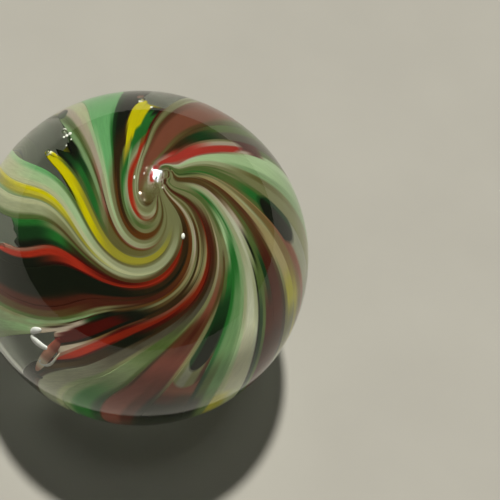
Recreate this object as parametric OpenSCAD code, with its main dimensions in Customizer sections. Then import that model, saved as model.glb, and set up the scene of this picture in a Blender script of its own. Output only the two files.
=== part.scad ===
// Handmade glass marble: a ball of clear glass with ribbons of coloured glass swirled
// just under its skin. The ribbons start at the pole, where the soft ball was twisted
// off its rod, hook round beside it and run down the sides to rounded or torn tips.

/* [Ball] */
// Diameter of the ball
ball_d = 42; // [25:1:60]
// Diameter of the scar at the pole, where the ball left the rod
scar_d = 4; // [2:0.5:8]
// Depth of the scar below its rim
scar_depth = 0.2; // [0.1:0.05:0.6]

/* [Ribbons] */
// Clear glass between the skin and the ribbons
cover = 2.5; // [1.5:0.1:5]
// Thickness of a ribbon
ribbon_t = 1; // [0.4:0.1:2]
// Clear film along each edge of a ribbon, as a share of the ribbon's width
film = 0.08; // [0.06:0.01:0.2]
// Width that is left at a ribbon's tips, as a share of its full width
tip = 0.4; // [0.2:0.05:0.9]

/* [Swirl] */
// Extra turn of the ribbons as they near the pole, in degrees
drift = 263; // [240:1:285]
// How fast that turn dies away from the pole, in degrees of arc
drift_reach = 13; // [12:0.5:14]

/* [Hidden] */

ball_r = ball_d / 2;
ribbon_r = ball_r - cover;
scar_rim_z = sqrt(pow(ball_r, 2) - pow(scar_d / 2, 2));
scar_cut_r = (pow(scar_d / 2, 2) + pow(scar_depth, 2)) / (2 * scar_depth);

// The swirl is laid out on a plan of the ball seen along its pole, with distances and
// places in degrees of arc. It comes from straight spokes by these twists, each of which
// turns the plan about a centre [x, y] by a turn that dies away over its reach.
// Each line: x, y, turn, reach, and how sharply the turn dies away
twists = [
    [26.5, -16.5, -87.5, 77, 1.73],
    [36.5, 10.3, 298, 4, 0.62],
    [-4, 18, 41, 23, 1.93]
];

// The swirl's lanes in their order round the pole. Each line: the spoke angles of the lane's
// first edge at the three depths below, then the ribbons that lie in it, one after another,
// as colour, start and end. Depth is the distance from the pole along the untwisted spoke.
// A lane's second edge is the first edge of the next one, and the last line closes the round.
depths = [15, 45, 90];
lanes = [
    [[-5, 19, 50], ["white", 4, 7.5], ["brown", 10, 108]],
    [[37, 58, 84], ["brown", 5, 8.5], ["green", 11, 108]],
    [[47, 65, 95], ["white", 4, 9], ["red", 10.5, 21], ["dark", 23, 34]],
    [[78, 80, 106], ["green", 5, 25], ["yellow", 27, 43]],
    [[94, 88, 112], ["brown", 5, 26], ["dark", 28, 112]],
    [[107, 101, 121], ["green", 5, 100]],
    [[118, 117, 132], ["brown", 6, 33], ["white", 35, 104]],
    [[123, 126, 139], ["white", 5, 29], ["dark", 31, 60]],
    [[131, 140, 145], ["yellow", 5, 64]],
    [[144, 149, 151], ["white", 4, 126]],
    [[154, 157, 157], ["yellow", 25, 128]],
    [[158, 161, 161], ["white", 5, 130]],
    [[161, 166, 167], ["dark", 29, 77]],
    [[163.5, 172, 174], ["red", 13, 84]],
    [[168, 177, 178], ["dark", 5, 132]],
    [[178, 187, 188], ["brown", 5, 130]],
    [[184, 191, 192.5], ["white", 4, 134]],
    [[192, 193.5, 197.5], ["dark", 6, 86]],
    [[197, 198.5, 201], ["white", 5, 38], ["white", 52, 100]],
    [[207, 200.5, 204.5], ["red", 5, 104]],
    [[212, 204, 208], ["dark", 6, 126]],
    [[219, 208, 211], ["white", 4, 128]],
    [[224, 212, 216], ["green", 6, 122]],
    [[229, 216, 223], ["brown", 14, 120]],
    [[232, 224, 233], ["green", 6.5, 27], ["dark", 29, 70], ["white", 71.5, 79],
     ["brown", 81, 116]],
    [[240, 232, 242], ["green", 6, 118]],
    [[247, 241, 251], ["white", 4, 112]],
    [[256, 250, 264], ["dark", 6, 110]],
    [[265, 260, 273], ["brown", 6.5, 106]],
    [[271, 269, 284], ["white", 5.5, 104]],
    [[277, 277, 293], ["brown", 6.5, 102]],
    [[281, 284, 304], ["green", 5, 34], ["dark", 36, 52], ["white", 54, 98]],
    [[292, 299, 318], ["green", 6.5, 98]],
    [[301, 318, 340], ["green", 5, 96]],
    [[311, 341, 366], ["red", 5, 31], ["dark", 33, 94]],
    [[335, 354, 380], ["green", 5, 7.5], ["dark", 10, 96]],
    [[355, 379, 410]]
];

// Depths at which ribbons have a section: close together in the tight swirl by the pole,
// then further apart down the sides
swirl_start = 4;
swirl_end = 36;
swirl_steps = 18;
side_growth = 1.22;
side_steps = 7;
stations = concat(
    [for (k = [0:swirl_steps]) swirl_start * pow(swirl_end / swirl_start, k / swirl_steps)],
    [for (k = [1:side_steps]) swirl_end * pow(side_growth, k)]);
// A section that lies closer than this share of its depth to a tip is left out
tip_room = 0.05;

// Turns a place p on the plan about the twist w, forwards (way 1) or back (way -1)
function twist(p, w, way) =
    let (centre = [w[0], w[1]], d = p - centre, a = way * w[2] * exp(-pow(norm(d) / w[3], w[4])))
    centre + [d.x * cos(a) - d.y * sin(a), d.x * sin(a) + d.y * cos(a)];
function untwisted(p, k = 0) = k == len(twists) ? p : untwisted(twist(p, twists[k], 1), k + 1);
function twisted(p, k = len(twists) - 1) = k < 0 ? p : twisted(twist(p, twists[k], -1), k - 1);
spoke_centre = untwisted([0, 0]);

// Place on a sphere of radius r for a spoke angle and a depth along the spoke
function on_ball(angle, depth, r) =
    let (a = angle + drift * exp(-depth / drift_reach),
         p = twisted(spoke_centre + depth * [cos(a), sin(a)]),
         turn = atan2(p.y, p.x))
    r * [sin(norm(p)) * cos(turn), sin(norm(p)) * sin(turn), cos(norm(p))];

// Spoke angle of lane k's first edge at a depth: a parabola through its three angles
function edge(k, depth) =
    let (e = lanes[k][0], a = depths[0], b = depths[1], c = depths[2])
    e[0] * (depth - b) * (depth - c) / ((a - b) * (a - c))
    + e[1] * (depth - a) * (depth - c) / ((b - a) * (b - c))
    + e[2] * (depth - a) * (depth - b) / ((c - a) * (c - b));

// The four corners of a ribbon's section in lane k at a depth, shrunk to a share of its size
function section(k, depth, share) =
    let (first = edge(k, depth), last = edge(k + 1, depth), middle = (first + last) / 2,
         half = (last - first) * (0.5 - film) * share,
         outer = ribbon_r - ribbon_t * (1 - share) / 2,
         inner = outer - ribbon_t * share)
    [on_ball(middle - half, depth, outer), on_ball(middle + half, depth, outer),
     on_ball(middle + half, depth, inner), on_ball(middle - half, depth, inner)];

// One ribbon in lane k from one depth to another, with a narrowed tip at each end
module ribbon(k, from, to) {
    between = [for (s = stations) if (s > from * (1 + tip_room) && s < to * (1 - tip_room)) s];
    rings = concat([section(k, from, tip)], [for (s = between) section(k, s, 1)], [section(k, to, tip)]);
    end = 4 * (len(rings) - 1);
    sides = [for (i = [0:4:end - 4], j = [0:3])
        let (a = i + j, b = i + (j + 1) % 4)
        each [[a, b, b + 4], [a, b + 4, a + 4]]];
    polyhedron([for (ring = rings) each ring],
               concat([[3, 2, 1, 0]], sides, [[end, end + 1, end + 2, end + 3]]));
}

// Every ribbon of one colour, or of all colours
module ribbons(colour = "any") {
    for (k = [0:len(lanes) - 2], i = [1:1:len(lanes[k]) - 1]) {
        piece = lanes[k][i];
        if (colour == "any" || colour == piece[0]) ribbon(k, piece[1], piece[2]);
    }
}

module clear_glass() {
    color([0.82, 0.86, 0.82, 0.3])
    difference() {
        sphere(r = ball_r, $fn = 96);
        translate([0, 0, scar_rim_z + scar_cut_r - scar_depth]) sphere(r = scar_cut_r, $fn = 96);
        ribbons();
    }
}

module white_ribbons() { color([0.78, 0.80, 0.70]) ribbons("white"); }
module green_ribbons() { color([0.30, 0.58, 0.33]) ribbons("green"); }
module yellow_ribbons() { color([0.82, 0.74, 0.05]) ribbons("yellow"); }
module red_ribbons() { color([0.60, 0.12, 0.08]) ribbons("red"); }
module brown_ribbons() { color([0.38, 0.18, 0.10]) ribbons("brown"); }
module dark_ribbons() { color([0.06, 0.10, 0.06]) ribbons("dark"); }

clear_glass();
white_ribbons();
green_ribbons();
yellow_ribbons();
red_ribbons();
brown_ribbons();
dark_ribbons();
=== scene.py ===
import math
import bpy
import numpy as np
from mathutils import Matrix, Vector


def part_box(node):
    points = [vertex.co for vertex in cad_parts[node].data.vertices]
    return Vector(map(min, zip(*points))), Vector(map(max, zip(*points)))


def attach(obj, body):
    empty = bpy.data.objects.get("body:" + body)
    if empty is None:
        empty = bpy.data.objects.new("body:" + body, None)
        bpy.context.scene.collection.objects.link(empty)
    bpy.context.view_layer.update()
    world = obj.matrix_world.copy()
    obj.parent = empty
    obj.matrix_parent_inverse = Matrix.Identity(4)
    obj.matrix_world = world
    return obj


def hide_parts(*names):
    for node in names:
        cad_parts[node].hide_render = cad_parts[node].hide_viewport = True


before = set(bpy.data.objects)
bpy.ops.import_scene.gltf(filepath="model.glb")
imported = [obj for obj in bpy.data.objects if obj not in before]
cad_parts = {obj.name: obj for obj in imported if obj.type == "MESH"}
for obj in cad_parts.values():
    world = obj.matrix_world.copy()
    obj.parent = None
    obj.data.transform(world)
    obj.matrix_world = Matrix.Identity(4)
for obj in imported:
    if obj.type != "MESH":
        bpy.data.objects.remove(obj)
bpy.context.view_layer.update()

# The coloured ribbons: canes of opaque glass laid side by side on the hot clear ball and dragged
# into a swirl when its pole was gripped and twisted. They lie under the clear skin in lanes round
# the pole, soft at their edges where the colours melted together, and each glass is one piece.
ribbon_reach = [v.co.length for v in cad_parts["white_ribbons"].data.vertices]
ribbon_top = max(ribbon_reach)
ribbon_t = ribbon_top - min(ribbon_reach)

# Depths and spoke angles are in degrees of arc, lengths in metres
ribbon_rings = 200
ribbon_columns = 25
underside_step = 8
ring_bunching = 0.6
tip_roundness = 0.98
tip_edge, thinnest_tip = 1.5, 0.02
hub_start = 0.5
late_start, late_growth = 10, 8
joint_least, joint_near_pole = 0.6, 24
edge_melt = {"red": 0.00006, "yellow": 0.0001}
plain_melt = 0.00012
stripe_crisp = 2.2

# x, y, turn, reach and sharpness of each twist of the plan, in degrees of arc
twists = [(26.5, -16.5, -87.5, 77, 1.73), (36.5, 10.3, 298, 4, 0.62), (-4, 18, 41, 23, 1.93)]
drift, drift_reach = 263, 13
lane_depths = (15, 45, 90)

# The colours are picked as they look on the ball under a high lamp, so what the lamp's slant adds or
# takes away at each place is divided out of them again. Where the slant is under least_slant only part
# of the shade is divided out, so the colours there keep some painted shade.
lamp_high, lamp_left = 72.5, 17
to_lamp = Vector((-math.cos(math.radians(lamp_high)) * math.sin(math.radians(lamp_left)),
                  math.cos(math.radians(lamp_high)) * math.cos(math.radians(lamp_left)),
                  math.sin(math.radians(lamp_high))))
shade_fill, shade_lamp, least_slant = 0.18, 1.11, 0.12
palest = 0.95

cane_colours = {
    "milk": (162, 164, 130), "chalk": (162, 164, 146), "mist": (134, 138, 108), "cream": (132, 120, 84),
    "blush": (150, 138, 124), "rose": (122, 84, 70), "peach": (126, 104, 66), "coral": (146, 46, 38),
    "khaki": (102, 103, 70), "olive": (84, 80, 44), "umber": (68, 52, 27), "soot": (42, 29, 13),
    "sage": (144, 168, 128), "mint": (108, 134, 94), "fern": (94, 150, 96), "leaf": (30, 88, 34),
    "moss": (68, 84, 42), "bottle": (18, 46, 20), "ink": (14, 18, 9), "pewter": (66, 62, 50),
    "lemon": (182, 172, 2), "straw": (132, 126, 40), "ochre": (98, 80, 46), "rust": (78, 44, 16),
    "ember": (138, 36, 20), "cherry": (104, 26, 10), "wine": (60, 10, 5), "maroon": (60, 26, 15),
    "brick": (104, 60, 44), "rosewood": (70, 40, 24), "tile": (96, 48, 38), "bone": (182, 182, 158),
    "snow": (250, 250, 244), "fog": (118, 119, 102), "lichen": (106, 120, 86), "glade": (86, 120, 76),
    "maize": (176, 166, 50),
}

# Each lane: spoke angles of its first edge at the three depths, then its ribbons as the glass, start,
# end, and the colours across the ribbon from the first edge to the second, at some depths
lanes = [
    ((-5, 19, 50),
     ("white", 4, 7.5, {5: "khaki olive"}),
     ("brown", 10, 108, {12: "olive brick brick brick", 26: "umber brick brick rosewood",
                         45: "moss brick brick"})),
    ((37, 58, 84),
     ("brown", 5, 8.5, {6: "umber umber"}),
     ("green", 11, 108, {12: "khaki mist khaki", 24: "olive khaki umber", 45: "mist khaki mist"})),
    ((47, 65, 95),
     ("white", 4, 9, {4: "khaki khaki rosewood", 7: "khaki khaki mist rust"}),
     ("red", 10.5, 21, {10: "mist khaki mist cherry khaki", 15: "mist khaki ember ember mist",
                        18: "mist ember ember ember mist", 21: "cherry ember mist mist mint"}),
     ("dark", 23, 34, {23: "cherry leaf leaf leaf fern", 25: "wine leaf leaf leaf leaf",
                       27: "wine leaf leaf leaf lemon", 29: "wine leaf leaf lemon lemon",
                       31.5: "wine ink leaf lemon lemon", 35: "maroon ink ink lemon lemon"})),
    ((78, 80, 106),
     ("green", 5, 25, {8: "olive khaki khaki", 14: "khaki moss khaki", 19: "mist mint moss",
                       22.5: "leaf leaf leaf", 25: "straw straw moss"}),
     ("yellow", 27, 43, {26.5: "straw lemon lemon straw moss", 28: "lemon lemon lemon soot soot",
                         35: "lemon lemon lemon soot", 39: "lemon lemon lemon lemon soot"})),
    ((94, 88, 112),
     ("brown", 5, 26, {8: "olive umber olive", 14: "khaki rust rust", 22: "moss soot rust"}),
     ("dark", 28, 112, {29: "soot soot soot", 36: "ink ink bottle"})),
    ((107, 101, 121),
     ("green", 5, 100, {10: "khaki khaki khaki", 18: "rust khaki mist", 27: "umber khaki sage",
                        33: "leaf fern fern sage", 50: "fern fern fern fern"})),
    ((118, 117, 132),
     ("brown", 6, 33, {10: "olive olive", 20: "mist mist rose", 30: "milk mist mist maroon"}),
     ("white", 35, 104, {36: "sage blush rose", 42: "sage blush khaki", 60: "milk milk blush moss"})),
    ((123, 126, 139),
     ("white", 5, 29, {10: "khaki khaki", 22: "rust olive olive"}),
     ("dark", 31, 60, {31: "rose khaki moss", 36: "umber mint moss leaf leaf",
                       44: "moss mint bottle leaf moss", 50: "moss mint ink ink bottle ink",
                       58: "moss mint ink ink ink ink"})),
    ((131, 140, 145),
     ("yellow", 5, 64, {10: "khaki khaki khaki", 18: "khaki straw straw olive",
                        28: "olive straw straw straw", 38: "moss straw lemon lemon",
                        50: "moss lemon lemon moss", 60: "lemon lemon moss"})),
    ((144, 149, 151),
     ("white", 4, 126, {10: "khaki khaki khaki", 18: "khaki mist mist", 30: "olive mist milk",
                        42: "moss sage milk", 60: "fern sage milk", 85: "sage milk milk"})),
    ((154, 157, 157),
     ("yellow", 25, 128, {28: "milk milk mist", 40: "milk straw khaki",
                          55: "maize lemon maize straw lichen", 90: "maize straw mint"})),
    ((158, 161, 161),
     ("white", 5, 130, {10: "khaki khaki", 20: "khaki umber umber", 32: "mist umber",
                        45: "mist khaki umber", 60: "milk mist moss"})),
    ((161, 166, 167),
     ("dark", 29, 77, {31: "umber wine", 42: "moss soot wine", 50: "khaki leaf bottle",
                       62: "leaf bottle ink"})),
    ((163.5, 172, 174),
     ("red", 13, 84, {15: "cherry cherry cherry", 25: "cherry cherry ember", 33: "wine wine cherry ember",
                      45: "ember ember ember wine", 70: "rose ember ink ink"})),
    ((168, 177, 178),
     ("dark", 5, 132, {8: "umber umber umber", 15: "soot soot soot", 25: "cherry soot ink",
                       40: "ink ink ink maroon", 80: "ink ink maroon"})),
    ((178, 187, 188),
     ("brown", 5, 130, {10: "rust rust brick", 20: "soot rust rust", 35: "soot maroon maroon",
                        50: "maroon maroon khaki", 70: "maroon umber moss"})),
    ((184, 191, 192.5),
     ("white", 4, 134, {10: "mist blush khaki", 18: "rust mist blush", 30: "maroon rust khaki",
                        45: "soot umber soot", 52: "umber khaki ink ink",
                        60: "khaki mint soot bottle bottle", 67: "sage mint soot blush blush blush",
                        78: "lichen lichen khaki soot blush blush", 86: "lichen mint lichen blush blush",
                        93: "khaki lichen mint lichen"})),
    ((192, 193.5, 197.5),
     ("dark", 6, 86, {10: "khaki olive olive", 16: "blush umber soot", 25: "cream khaki soot",
                      36: "khaki umber soot", 45: "ink ink ink", 55: "ink wine wine ink",
                      70: "wine wine wine ink", 76: "blush wine wine wine ink",
                      84: "blush blush wine wine ink"})),
    ((197, 198.5, 201),
     ("white", 5, 38, {10: "olive khaki umber", 16: "rust khaki umber umber",
                       25: "soot cream khaki umber", 34: "soot soot"}),
     ("white", 52, 100, {55: "ink rosewood soot", 65: "soot ochre ochre", 78: "soot blush blush rose"})),
    ((207, 200.5, 204.5),
     ("red", 5, 104, {8: "rosewood maroon", 15: "umber rosewood", 25: "khaki cream", 38: "brick cherry",
                      55: "wine cherry cherry", 75: "rose ember ember wine"})),
    ((212, 204, 208),
     ("dark", 6, 126, {10: "maroon umber", 20: "cherry maroon maroon", 32: "cherry cherry wine",
                       45: "wine soot", 60: "ink ink ink", 75: "soot soot soot", 95: "soot umber pewter",
                       112: "ink ink soot"})),
    ((219, 208, 211),
     ("white", 4, 128, {10: "khaki khaki", 20: "maroon maroon rosewood", 35: "maroon soot soot",
                        50: "soot pewter pewter", 70: "pewter pewter khaki", 90: "fog fog lichen",
                        110: "fog fog mist"})),
    ((224, 212, 216),
     ("green", 6, 122, {12: "khaki khaki khaki", 25: "rosewood umber cream", 40: "pewter pewter khaki",
                        60: "moss moss moss", 80: "lichen lichen lichen moss",
                        105: "lichen leaf bottle"})),
    ((229, 216, 223),
     ("brown", 14, 120, {15: "khaki khaki", 25: "blush khaki khaki", 40: "khaki brick umber",
                         50: "umber rosewood maroon rosewood khaki", 70: "soot tile tile tile tile cream",
                         100: "tile tile maroon ink"})),
    ((232, 224, 233),
     ("green", 6.5, 27, {9: "moss khaki", 15: "moss moss moss", 22: "khaki moss mint",
                         26: "khaki khaki sage"}),
     ("dark", 29, 70, {30: "umber khaki mint", 36: "umber moss leaf leaf",
                       45: "khaki bottle bottle bottle bottle", 58: "khaki bottle ink ink ink bottle",
                       68: "khaki bottle ink ink ink khaki"}),
     ("white", 71.5, 79, {75: "khaki fog khaki rosewood"}),
     ("brown", 81, 116, {82: "brick brick", 88: "maroon soot", 96: "ink ink"})),
    ((240, 232, 242),
     ("green", 6, 118, {10: "khaki khaki khaki", 16: "moss leaf moss", 24: "sage mint leaf",
                        32: "leaf leaf mint", 45: "leaf glade mint", 60: "leaf glade glade mint",
                        80: "bottle moss glade glade", 95: "ink moss"})),
    ((247, 241, 251),
     ("white", 4, 112, {8: "khaki khaki", 14: "mint mist mist", 30: "mint mist chalk",
                        50: "mist chalk mist", 66: "sage bone bone chalk", 86: "mist bone bone",
                        93: "straw mist"})),
    ((256, 250, 264),
     ("dark", 6, 110, {10: "umber umber umber", 18: "blush umber umber", 28: "chalk blush olive",
                       36: "mist mist ink moss moss moss", 45: "ink moss moss moss bottle bottle",
                       60: "ink bottle moss maroon maroon maroon"})),
    ((265, 260, 273),
     ("brown", 6.5, 106, {10: "rust umber khaki", 20: "olive umber rosewood", 30: "moss umber rosewood",
                          45: "maroon maroon umber", 65: "maroon maroon soot"})),
    ((271, 269, 284),
     ("white", 5.5, 104, {10: "khaki moss", 18: "rust cream cream", 30: "rosewood cream mist",
                          45: "cream cream", 52: "khaki cream cream", 62: "olive straw straw",
                          75: "khaki khaki"})),
    ((277, 277, 293),
     ("brown", 6.5, 102, {10: "bottle moss", 20: "cream khaki cream", 35: "khaki ochre ochre peach",
                          50: "ochre ochre brick", 70: "straw ochre"})),
    ((281, 284, 304),
     ("green", 5, 34, {8: "moss moss", 15: "leaf moss moss", 25: "olive moss moss khaki",
                       33: "moss leaf moss"}),
     ("dark", 36, 52, {40: "ink ink bottle"}),
     ("white", 54, 98, {56: "brick fog fog", 80: "rose fog fog"})),
    ((292, 299, 318),
     ("green", 6.5, 98, {10: "khaki mist mist", 20: "moss khaki mist mist", 35: "khaki khaki olive mint",
                         60: "khaki khaki mint"})),
    ((301, 318, 340),
     ("green", 5, 96, {10: "sage chalk", 20: "sage sage sage rose", 35: "mint sage sage sage",
                       60: "mint mint sage"})),
    ((311, 341, 366),
     ("red", 5, 31, {8: "rose coral coral", 15: "coral coral coral brick",
                     25: "coral coral blush khaki"}),
     ("dark", 33, 94, {33: "blush wine wine", 37: "wine wine wine", 41: "sage moss pewter"})),
    ((335, 354, 380),
     ("green", 5, 7.5, {6: "blush blush"}),
     ("dark", 10, 96, {11: "coral rosewood", 15: "rosewood soot umber", 22: "bottle bottle umber",
                       30: "pewter pewter moss moss"})),
    ((355, 379, 410),),
]

# How far a torn end is cut back at places from the lane's first edge to its second (less than 0 is
# drawn out), and how far a joint between two ribbons of one lane bows: by lane and ribbon, in degrees
# of depth. Some lanes also lean back low on the ball, by degrees of spoke angle per degree of depth.
torn_ends = {
    (2, 2): (0, 0, -0.5, -2, -4, -6), (3, 1): (3, 1, 0, 0, 1, 4), (7, 1): (-12, -6, 4, 7, 5, 9, 6, 1, 4),
    (8, 0): (3, 0, 2, 7, 14, 20), (12, 0): (0, 2, 1, 3, 0, 2), (13, 0): (0, 0, -6, -12, -16),
    (17, 0): (5, 3, 2, 1, 3), (18, 1): (15, 11, 12, 9), (19, 0): (10, 6, 8, 12, 16),
}
long_lanes, long_end = range(20, 28), (-2, -9, -12, -13, -12, -9, -2)
for k in long_lanes:
    torn_ends[k, len(lanes[k]) - 2] = long_end
late_lean = {20: 0.3, 21: 0.3, 22: 0.3, 23: 0.3, 24: 0.2}
lean_start, lean_soft = 84, 5
joint_bow = {(24, 1): 9, (24, 2): 4, (34, 0): 3, (31, 0): -3, (31, 1): 4, (4, 0): 2, (6, 0): 1.5}


def twisted(x, y, twist, way):
    """The plan's places x, y turned about one twist, forwards (way 1) or back (way -1)."""
    dx, dy = x - twist[0], y - twist[1]
    a = np.radians(way * twist[2] * np.exp(-(np.hypot(dx, dy) / twist[3]) ** twist[4]))
    return twist[0] + dx * np.cos(a) - dy * np.sin(a), twist[1] + dx * np.sin(a) + dy * np.cos(a)


spoke_x, spoke_y = np.zeros(1), np.zeros(1)
for twist in twists:
    spoke_x, spoke_y = twisted(spoke_x, spoke_y, twist, 1)


def on_ball(angle, depth, r):
    """Places at radius r for a spoke angle and a depth from the pole, as an array of points."""
    a = np.radians(angle + drift * np.exp(-depth / drift_reach))
    x, y = spoke_x + depth * np.cos(a), spoke_y + depth * np.sin(a)
    for twist in reversed(twists):
        x, y = twisted(x, y, twist, -1)
    theta, turn = np.radians(np.hypot(x, y)), np.arctan2(y, x)
    level = r * np.sin(theta)
    return np.stack([level * np.cos(turn), level * np.sin(turn), r * np.cos(theta)], -1)


def eased(share):
    """A share from 0 to 1, soft at both ends."""
    share = np.clip(share, 0, 1)
    return share * share * (3 - 2 * share)


def joint_melt(depth):
    """Length over which two ribbons melt into each other at a joint, longer near the pole."""
    return joint_least + joint_near_pole / depth


def lane_edge(k, depth):
    """Spoke angle of lane k's first edge, closed up on the next lane until its own ribbon begins."""
    edge = np.polyval(np.polyfit(lane_depths, lanes[k][0], 2), depth)
    if len(lanes[k]) > 1 and lanes[k][1][1] > late_start:
        begun = eased((depth - lanes[k][1][1]) / late_growth)
        edge = edge + (lane_edge(k + 1, depth) - edge) * (1 - begun)
    past = depth - lean_start
    return edge - late_lean.get(k, 0) * (past + np.sqrt(past ** 2 + lean_soft ** 2)) / 2


def cane_span(k, i):
    """Depths at which ribbon i of lane k begins and ends, meeting others half way at its joints."""
    canes = lanes[k][1:]
    begin = canes[i][1] if i or canes[i][1] > late_start else hub_start
    if i:
        begin = (canes[i - 1][2] + begin) / 2
    end = (canes[i][2] + canes[i + 1][1]) / 2 if i + 1 < len(canes) else canes[i][2]
    return begin, end


def linear(rgb):
    """A colour picked on a 0 to 255 scale, in the linear values that shaders take."""
    c = np.asarray(rgb, float) / 255
    return np.where(c < 0.04045, c / 12.92, ((c + 0.055) / 1.055) ** 2.4)


def cane_tint(stops, across, depth):
    """Colour of a ribbon at places across it (0 to 1) and down it, melted between its named stops."""
    depths = sorted(stops)
    rows = []
    for stop in depths:
        stripes = np.array([cane_colours[name] for name in stops[stop].split()], float)
        place = across * (len(stripes) - 1)
        left = np.clip(np.floor(place), 0, len(stripes) - 2).astype(int)
        share = eased((place - left - 0.5) * stripe_crisp + 0.5)[..., None]
        rows.append(stripes[left] + (stripes[left + 1] - stripes[left]) * share)
    tint = rows[0]
    for low, high, row in zip(depths, depths[1:], rows[1:]):
        share = np.clip((depth - low) / (high - low), 0, 1)[..., None]
        tint = tint + (row - tint) * share * share * (3 - 2 * share)
    return linear(tint)


def lane_tint(k, across, depth):
    """Colour of lane k at places across and down it, and whether a ribbon lies there."""
    k = k % (len(lanes) - 1)
    tint, there = np.zeros(depth.shape + (3,)), np.zeros(depth.shape + (1,))
    for i, cane in enumerate(lanes[k][1:]):
        begin, end = cane_span(k, i)
        here = ((depth >= begin) & (depth <= end))[..., None]
        tint = np.where(here, cane_tint(cane[3], across, depth), tint)
        there = np.where(here, 1.0, there)
    return tint, there


def unshaded(points, tint):
    """Tints to paint at some points, so that the lamp's slant there shows them as they were picked."""
    slant = points @ np.array(to_lamp) / np.linalg.norm(points, axis=1)
    shade = shade_fill + shade_lamp * np.maximum(slant, least_slant)
    return tint / shade[:, None]


def tube_faces(rings, sides, first=0):
    """Faces of a tube of rings of points: its walls ring by ring, then a cap at each end."""
    ring = first + np.arange(rings - 1)[:, None] * sides
    a, b = ring + np.arange(sides), ring + (np.arange(sides) + 1) % sides
    walls = np.stack([a, a + sides, b + sides, b], -1).reshape(-1, 4).tolist()
    end = first + (rings - 1) * sides
    return walls + [[first + j for j in range(sides)], [end + j for j in reversed(range(sides))]]


def ribbon_strip(k, i):
    """Points, faces, smoothness, tints and lay (spoke angle, depth, lane) of ribbon i of lane k."""
    glass, _, _, stops = lanes[k][i + 1]
    begin, end = cane_span(k, i)
    joined_before, joined_after = i > 0, i + 2 < len(lanes[k])
    over = np.linspace(-1, 1, ribbon_columns)
    under = over[::-underside_step]
    across = np.concatenate([over, under])
    side = np.concatenate([np.ones(len(over)), -np.ones(len(under))])
    begins = np.full_like(across, begin)
    if joined_before:
        begins = begin - joint_bow.get((k, i - 1), 0) * across ** 2
    wide = lane_edge(k + 1, np.array(end)) - lane_edge(k, np.array(end))
    if joined_after:
        ends = end - joint_bow.get((k, i), 0) * across ** 2
    elif (k, i) in torn_ends:
        cut = torn_ends[k, i]
        ends = end - np.interp(across, np.linspace(-1, 1, len(cut)), cut)
    else:
        ends = end - math.radians(wide) * end / 2 * (1 - np.sqrt(1 - (tip_roundness * across) ** 2))
    step = np.linspace(0, 1, ribbon_rings)[:, None]
    step = step - ring_bunching * np.sin(2 * np.pi * step) / (2 * np.pi)
    deep = begins * (ends / begins) ** step
    first, last = lane_edge(k, deep), lane_edge(k + 1, deep)
    angle = (first + last) / 2 + (last - first) / 2 * across
    to_tip = np.ones_like(deep) if joined_after else np.clip((ends - deep) / tip_edge, thinnest_tip, 1)
    r = ribbon_top - ribbon_t / 2 + ribbon_t / 2 * side * np.sqrt(1 - (1 - to_tip) ** 2)
    points = on_ball(angle, deep, r).reshape(-1, 3)
    n = len(across)
    faces = tube_faces(ribbon_rings, n)
    smooth = [j not in (len(over) - 1, n - 1) for j in range(n)] * (ribbon_rings - 1) + [False, False]
    u = np.repeat((across[None] + 1) / 2, ribbon_rings, 0)
    tint = cane_tint(stops, u, deep)
    melt = edge_melt.get(glass, plain_melt)
    metres = np.radians(last - first) * np.radians(deep) * ribbon_top
    for beside, facing, away in ((k - 1, 1, u * metres), (k + 1, 0, (1 - u) * metres)):
        other, there = lane_tint(beside, np.full_like(deep, facing), deep)
        tint = tint + (other - tint) * there * 0.5 * (1 - eased(away / melt))[..., None]
    if joined_before:
        other = cane_tint(lanes[k][i][3], u, deep)
        tint = tint + (other - tint) * 0.5 * (1 - eased((deep - begins) / joint_melt(begin)))[..., None]
    if joined_after:
        other = cane_tint(lanes[k][i + 2][3], u, deep)
        tint = tint + (other - tint) * 0.5 * (1 - eased((ends - deep) / joint_melt(end)))[..., None]
    tint = unshaded(points, tint.reshape(-1, 3))
    tint = tint / np.maximum(tint.max(1) / palest, 1)[:, None]
    lay = np.stack([angle, deep, np.full_like(deep, k)], -1).reshape(-1, 3)
    return points, faces, smooth, tint, lay


# Loose threads: ends of ribbons that curled up when they tore, and some snow-white parts that are painted
# glints of air bubbles; each as the glass, the width, the height as a share of it, the colours along the
# thread, and its path in spoke angle and depth
threads_and_glints = [
    ("red", 0.0012, 0.35, "wine tile rose blush rose", (
        (198.5, 81), (200.5, 85), (204, 94), (207, 101.5), (210, 110))),
    ("white", 0.0004, 1, "blush chalk bone bone chalk", (
        (203.5, 88), (206, 94), (208, 99.5), (207.5, 103), (206, 101), (205.5, 97.5), (206.5, 98))),
    ("white", 0.0005, 0.6, "blush chalk blush", ((199.5, 84), (201.5, 87.5), (203, 91), (205, 96))),
    # These two snow-white threads are painted reflection: the bright rim of an air bubble, drawn as a white
    # crescent.
    ("white", 0.001, 0.5, "snow snow", ((198, 92.5), (199, 93.5), (200, 93.5), (201.5, 92.5), (202.5, 90))),
    ("white", 0.0008, 0.5, "snow snow", ((197.5, 92.5), (196.5, 89), (196, 85.5))),
    ("dark", 0.0008, 0.6, "ink ink", ((211, 117), (212.5, 111))),
    ("dark", 0.0012, 0.5, "bottle ink", ((131, 66), (130, 74))),
    ("red", 0.0008, 0.5, "rose rosewood", ((88, 45), (90, 49))),
    # The snow end of this yellow thread is a painted glint of an air bubble at its tip.
    ("yellow", 0.0005, 1, "lemon snow", ((143, 56), (144, 62))),
]
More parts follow.
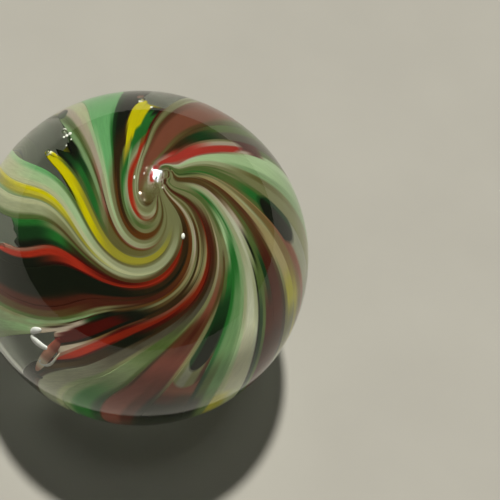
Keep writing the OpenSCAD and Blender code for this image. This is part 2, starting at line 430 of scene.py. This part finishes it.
# White specks, as spoke angle, depth and size: foam by the torn ends, painted glints where air bubbles
# shine, and a few near the pole
foam_and_glint_specks = [
    (133, 56, 0.0004), (131, 55, 0.0004), (132, 53, 0.0002), (134.5, 57, 0.0003), (132.5, 59, 0.0005),
    (136, 54, 0.0002), (143, 57, 0.0003), (143.5, 61.5, 0.0004), (145, 61, 0.0003), (168, 14.5, 0.0004),
    (17.5, 10.5, 0.00012), (53.5, 15, 0.00015), (71, 35.5, 0.0003), (85, 42.5, 0.0006),
]
thread_rings, thread_sides, thread_smoothing = 28, 10, 6
thread_tip = 0.01
for angle, depth, size in foam_and_glint_specks:
    half = math.degrees(size / 2 / ribbon_top)
    threads_and_glints.append(("white", size, 1, "snow snow", ((angle, depth - half), (angle, depth + half))))


def loose_thread(width, roundness, colours, path):
    """Points, faces, smoothness, tints and lay of a thread of glass along a path."""
    t = np.linspace(0, 1, thread_rings)
    angle, depth = (np.interp(t, np.linspace(0, 1, len(path)), column) for column in zip(*path))
    for _ in range(thread_smoothing):
        angle[1:-1] = (angle[:-2] + 2 * angle[1:-1] + angle[2:]) / 4
        depth[1:-1] = (depth[:-2] + 2 * depth[1:-1] + depth[2:]) / 4
    middle = on_ball(angle, depth, ribbon_top)
    out = middle / np.linalg.norm(middle, axis=1)[:, None]
    run = np.gradient(middle, axis=0)
    run = run / np.linalg.norm(run, axis=1)[:, None]
    aside = np.cross(run, out)
    turn = np.linspace(0, 2 * np.pi, thread_sides, endpoint=False)[None, :, None]
    size = (width / 2 * np.sqrt(np.sin(np.pi * (thread_tip + (1 - 2 * thread_tip) * t))))[:, None, None]
    ring = np.cos(turn) * aside[:, None] + np.sin(turn) * roundness * out[:, None]
    points = (middle[:, None] + size * ring).reshape(-1, 3)
    n = thread_sides
    faces = tube_faces(thread_rings, n)
    tint = cane_tint({1: colours}, np.repeat(t, n), np.repeat(depth, n))
    tint = np.minimum(unshaded(points, tint), palest)
    lay = np.stack([np.repeat(angle, n), np.repeat(depth, n), np.full(len(points), float(len(lanes)))], -1)
    return points, faces, [True] * len(faces), tint, lay


class Finish:
    """A socket of a material's nodes, on which shader maths is written as sums and products."""

    def __init__(self, tree, socket=None):
        self.tree, self.socket = tree, socket

    def add(self, kind, settings={}, sockets={}, out=0):
        node = self.tree.nodes.new("ShaderNode" + kind)
        for name, value in settings.items():
            setattr(node, name, value)
        for name, value in sockets.items():
            if isinstance(value, Finish):
                self.tree.links.new(value.socket, node.inputs[name])
            else:
                node.inputs[name].default_value = value
        return Finish(self.tree, node.outputs[out] if node.outputs else None)

    def maths(self, operation, a, b):
        return self.add("Math", {"operation": operation}, {0: a, 1: b})

    def __add__(self, other):
        return self.maths("ADD", self, other)

    __radd__ = __add__

    def __mul__(self, other):
        return self.maths("MULTIPLY", self, other)

    __rmul__ = __mul__


def new_finish(name):
    """An empty material and the Finish that adds nodes to it."""
    material = bpy.data.materials.new(name)
    material.use_nodes = True
    material.node_tree.nodes.clear()
    return material, Finish(material.node_tree)


def new_piece(name, points, faces, smooth, material):
    """A mesh object at the frame's origin that rides on the marble, each face smooth or flat."""
    mesh = bpy.data.meshes.new(name)
    mesh.from_pydata(np.asarray(points).tolist(), [], faces)
    mesh.polygons.foreach_set("use_smooth", smooth)
    mesh.materials.append(material)
    piece = bpy.data.objects.new(name, mesh)
    bpy.context.scene.collection.objects.link(piece)
    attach(piece, "root")
    return piece


fine_streaks, broad_streaks = (2.2, 0.035, 3.1), (0.5, 0.05, 5.3)
streak_bump = 0.0001


def cane_finish(name):
    """Opaque cane glass: the ribbon's own tints with fine streaks drawn out along it."""
    material, f = new_finish(name)
    tint = f.add("Attribute", {"attribute_name": "tint"})
    lay = f.add("Attribute", {"attribute_name": "lay"}, out=1)
    along_fine = f.add("VectorMath", {"operation": "MULTIPLY"}, {0: lay, 1: fine_streaks})
    along_broad = f.add("VectorMath", {"operation": "MULTIPLY"}, {0: lay, 1: broad_streaks})
    fine = f.add("TexNoise", {}, {"Vector": along_fine, "Detail": 3})
    broad = f.add("TexNoise", {}, {"Vector": along_broad, "Detail": 2})
    shade = 0.55 + fine * 0.5 + broad * 0.4
    colour = f.add("VectorMath", {"operation": "SCALE"}, {0: tint, "Scale": shade})
    bump = f.add("Bump", {}, {"Height": fine, "Strength": 0.15, "Distance": streak_bump})
    glass = f.add("BsdfPrincipled", {}, {
        "Base Color": colour, "Roughness": 0.25 + fine * 0.2, "Specular IOR Level": 0.0, "Normal": bump})
    f.add("OutputMaterial", {}, {"Surface": glass})
    return material


for glass in ("white", "green", "yellow", "red", "brown", "dark"):
    points, faces, smooth, tints, lays = [], [], [], [], []
    count = 0
    strips = [ribbon_strip(k, i) for k, lane in enumerate(lanes)
              for i, cane in enumerate(lane[1:]) if cane[0] == glass]
    strips += [loose_thread(*thread[1:]) for thread in threads_and_glints if thread[0] == glass]
    for strip, quads, soft, tint, lay in strips:
        faces += [[j + count for j in quad] for quad in quads]
        smooth += soft
        count += len(strip)
        points.append(strip)
        tints.append(tint)
        lays.append(lay)
    ribbons = new_piece(glass + "_canes", np.concatenate(points), faces, smooth,
                        cane_finish(glass + "_cane_glass"))
    tint = np.concatenate(tints)
    paint = ribbons.data.color_attributes.new("tint", "FLOAT_COLOR", "POINT")
    paint.data.foreach_set("color", np.concatenate([tint, np.ones((len(tint), 1))], 1).ravel())
    lay = ribbons.data.attributes.new("lay", "FLOAT_VECTOR", "POINT")
    lay.data.foreach_set("vector", np.concatenate(lays).ravel())
    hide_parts(glass + "_ribbons")
    glass + "_glass"

# The clear glass: the ball that cases the ribbons, gathered over them hot and fire-polished all round.
# At the pole is the scar where it was broken off its rod and melted smooth again: a slightly flattened
# top with a small lumpy pit in it, which breaks up the lamp's reflection.
ball_low, ball_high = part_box("clear_glass")
ball_inset, top_inset, top_soft = 0.9997, 0.00001, 0.00001
ball_r = (ball_high[0] - ball_low[0]) / 2 * ball_inset
ball_top = ball_high[2] - top_inset
ball_sides = 192
scar_r, scar_depth = 0.0012, 0.0002
scar_x, scar_y = -0.0005, -0.0013
lumps_y = -0.0005
scar_lumps = 330
smallest_lump, largest_lump = 0.00012, 0.00018
lump_rough_middle, lump_rough_outwards = 0.12, 0.25
lumps_reach, lumps_full, lumps_fade = 2, 2, 1.4
lump_dice = np.random.RandomState(13)
lump_x, lump_y = lump_dice.uniform(-lumps_reach * scar_r, lumps_reach * scar_r, (2, scar_lumps))
lump_size = lump_dice.uniform(smallest_lump, largest_lump, scar_lumps)
lump_rough = lump_rough_middle + lump_rough_outwards * np.hypot(lump_x, lump_y) / scar_r
lump_height = lump_size * lump_rough * lump_dice.uniform(-1, 1, scar_lumps)

# Rings of points from the pole downwards, in degrees from it, close together as far as the scar reaches
first_ring, scar_edge, last_ring = 0.12, 10, 179
scar_rings, side_rings = 110, 126
near_pole_share = 0.9
polar = np.radians(np.concatenate([np.linspace(first_ring, scar_edge, scar_rings),
                                   np.linspace(scar_edge, last_ring, side_rings)[1:]]))
around = np.linspace(0, 2 * np.pi, ball_sides, endpoint=False)
polar, around = np.meshgrid(polar, around, indexing="ij")
ball = np.stack([np.sin(polar) * np.cos(around), np.sin(polar) * np.sin(around), np.cos(polar)], -1) * ball_r
near_pole = ball[..., 2] > near_pole_share * ball_r
off_scar = np.hypot(ball[..., 0] - scar_x, ball[..., 1] - scar_y)
off_lumps = np.hypot(ball[..., 0], ball[..., 1] - lumps_y)
lumps_here = np.clip(lumps_full - lumps_fade * off_lumps / scar_r, 0, 1)
dent = scar_depth * np.exp(-(off_scar / scar_r) ** 2)
for x, y, size, height in zip(lump_x, lumps_y + lump_y, lump_size, lump_height):
    away = np.hypot(ball[..., 0] - x, ball[..., 1] - y)
    dent = dent + height * np.exp(-(away / size) ** 2) * lumps_here
over_top = ball[..., 2] - ball_top
worn = ball_top + (over_top - np.sqrt(over_top ** 2 + top_soft ** 2)) / 2 - np.maximum(dent, 0)
ball[..., 2] = np.where(near_pole, worn, ball[..., 2])
rows = len(ball)
points = np.concatenate([ball.reshape(-1, 3), [[0, 0, ball[0, :, 2].mean()], [0, 0, -ball_r]]])
faces = tube_faces(rows, ball_sides)[:-2]
last, top, bottom = (rows - 1) * ball_sides, rows * ball_sides, rows * ball_sides + 1
for i in range(ball_sides):
    j = (i + 1) % ball_sides
    faces += [[top, i, j], [bottom, last + j, last + i]]

# Air bubbles: hollows in the clear glass, as spoke angle, depth, distance from the ball's middle, and
# half sizes along the ribbons, across them and outwards
hollows = [(84, 42, 0.0193, 0.0004, 0.0004, 0.0004),
           (133, 57, 0.0193, 0.0005, 0.0003, 0.0003), (144, 60, 0.0193, 0.0003, 0.0003, 0.0003)]
hollow_rings, hollow_sides, hollow_tip = 14, 24, 0.03
hollow_polar = np.linspace(hollow_tip, math.pi - hollow_tip, hollow_rings)
hollow_turn = np.linspace(0, 2 * math.pi, hollow_sides, endpoint=False)
hollow_polar, hollow_turn = np.meshgrid(hollow_polar, hollow_turn, indexing="ij")
for angle, depth, r, along, across, outwards in hollows:
    centre, ahead = on_ball(np.array([angle, angle]), np.array([depth, depth + 0.1]), r)
    out = centre / np.linalg.norm(centre)
    run = (ahead - centre) / np.linalg.norm(ahead - centre)
    aside = np.cross(out, run)
    shell = (centre + along * np.sin(hollow_polar)[..., None] * np.cos(hollow_turn)[..., None] * run
             + across * np.sin(hollow_polar)[..., None] * np.sin(hollow_turn)[..., None] * aside
             + outwards * np.cos(hollow_polar)[..., None] * out)
    faces += [face[::-1] for face in tube_faces(hollow_rings, hollow_sides, len(points))]
    points = np.concatenate([points, shell.reshape(-1, 3)])

# The skin is slightly wavy all over, and grainy in a small hazy patch in front of the pole. Shadow rays
# from inside the ball pass it, so that the lamp lights the ribbons.
smear_place, smear_squeeze = (-0.0006, -0.0028, 0), (1.5, 1, 0)
smear_core, smear_edge = 0.0006, 0.0016
waves, wave_height, grain_size, grain_height = 140, 0.02, 6500, 0.15
bump_unit = 0.001
material, f = new_finish("clear_ball_glass")
place = f.add("NewGeometry")
wobble = f.add("TexNoise", {}, {"Vector": place, "Scale": waves, "Detail": 2})
grain = f.add("TexNoise", {}, {"Vector": place, "Scale": grain_size, "Detail": 3})
squeezed = f.add("VectorMath", {"operation": "MULTIPLY"}, {0: place, 1: smear_squeeze})
to_smear = f.add("VectorMath", {"operation": "DISTANCE"}, {0: squeezed, 1: smear_place}, out=1)
in_smear = f.add("MapRange", {"interpolation_type": "SMOOTHSTEP"}, {
    0: to_smear, 1: smear_core, 2: smear_edge, 3: 1, 4: 0})
skin = wobble * wave_height + grain * in_smear * grain_height
bump = f.add("Bump", {}, {"Height": skin, "Strength": 1, "Distance": bump_unit})
glass = f.add("BsdfPrincipled", {}, {
    "Base Color": (0.96, 0.975, 0.955, 1), "Roughness": 0.0, "IOR": 1.5, "Transmission Weight": 1,
    "Normal": bump})
to_lamp_ray = f.add("LightPath", out=1)
from_inside = f.add("NewGeometry", out=6)
passed = f.add("BsdfTransparent", {}, {"Color": (0.92, 0.94, 0.92, 1)})
lamp_pass = f.add("MixShader", {}, {0: to_lamp_ray * from_inside, 1: glass, 2: passed})
body = f.add("VolumeAbsorption", {}, {"Color": (0.3, 0.5, 0.3, 1), "Density": 11})
f.add("OutputMaterial", {}, {"Surface": lamp_pass, "Volume": body})
clear_ball = new_piece("clear_ball", points, faces, [True] * len(faces), material)
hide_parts("clear_glass")

# The floor the marble lies on: one wide plain pale matt sheet, very slightly mottled, that runs out to
# the horizon at the height of the ball's lowest point.
floor_half, floor_mottle = 6.0, 60
material, f = new_finish("pale_floor")
place = f.add("NewGeometry")
mottle = f.add("TexNoise", {}, {"Vector": place, "Scale": floor_mottle, "Detail": 4})
pale = f.add("Mix", {"data_type": "RGBA"}, {
    0: mottle, 6: (0.42, 0.41, 0.37, 1), 7: (0.47, 0.46, 0.415, 1)}, out=2)
matt = f.add("BsdfPrincipled", {}, {"Base Color": pale, "Roughness": 0.9, "Specular IOR Level": 0.1})
f.add("OutputMaterial", {}, {"Surface": matt})
mesh = bpy.data.meshes.new("floor")
corners = ((-1, -1), (1, -1), (1, 1), (-1, 1))
mesh.from_pydata([(x * floor_half, y * floor_half, ball_low[2]) for x, y in corners], [], [(0, 1, 2, 3)])
mesh.materials.append(material)
floor = bpy.data.objects.new("floor", mesh)
bpy.context.scene.collection.objects.link(floor)

# The light: one high, slightly warm lamp from behind and a little to the left, small enough for a
# clear shadow, and a dim even surround that fills it.
lamp = bpy.data.objects.new("lamp", bpy.data.lights.new("lamp", "SUN"))
lamp.data.energy = 3.4
lamp.data.angle = math.radians(4)
lamp.data.color = (1.0, 0.97, 0.9)
lamp.rotation_mode = "QUATERNION"
lamp.rotation_quaternion = to_lamp.to_track_quat("Z", "Y")
bpy.context.scene.collection.objects.link(lamp)
surround = bpy.data.worlds.new("surround")
surround.use_nodes = True
surround.node_tree.nodes["Background"].inputs["Color"].default_value = (1.0, 0.97, 0.86, 1)
surround.node_tree.nodes["Background"].inputs["Strength"].default_value = 0.058
bpy.context.scene.world = surround
bpy.context.scene.view_settings.view_transform = "Standard"

# The camera: steeply down on the marble from the front and leaning a little, from 7 ball radii away,
# with the ball left of the picture's middle. The ball's place and size in the picture are in pixels.
picture, sensor = 500, 36
ball_middle, ball_picture_r = (142.5, 258), 167
camera_high, camera_roll, camera_away = 62, 10, 7
high, roll = math.radians(camera_high), math.radians(camera_roll)
focal = ball_picture_r * math.sqrt(camera_away ** 2 - 1)
back = Vector((0, -math.cos(high), math.sin(high)))
upright = Vector((0, math.sin(high), math.cos(high)))
right = Vector((math.cos(roll), 0, 0)) + math.sin(roll) * upright
up = Vector((-math.sin(roll), 0, 0)) + math.cos(roll) * upright
to_ball = Vector(((ball_middle[0] - picture / 2) / focal, (picture / 2 - ball_middle[1]) / focal, -1))
swing = Vector((0, 0, -1)).rotation_difference(to_ball.normalized()).to_matrix()
camera = bpy.data.objects.new("camera", bpy.data.cameras.new("camera"))
camera.data.sensor_fit = "HORIZONTAL"
camera.data.sensor_width = sensor
camera.data.lens = focal / picture * sensor
camera.data.clip_start = 0.01
camera.matrix_world = (Matrix.Translation(back * camera_away * ball_r)
                       @ (Matrix((right, up, back)).transposed() @ swing.transposed()).to_4x4())
bpy.context.scene.collection.objects.link(camera)
bpy.context.scene.camera = camera
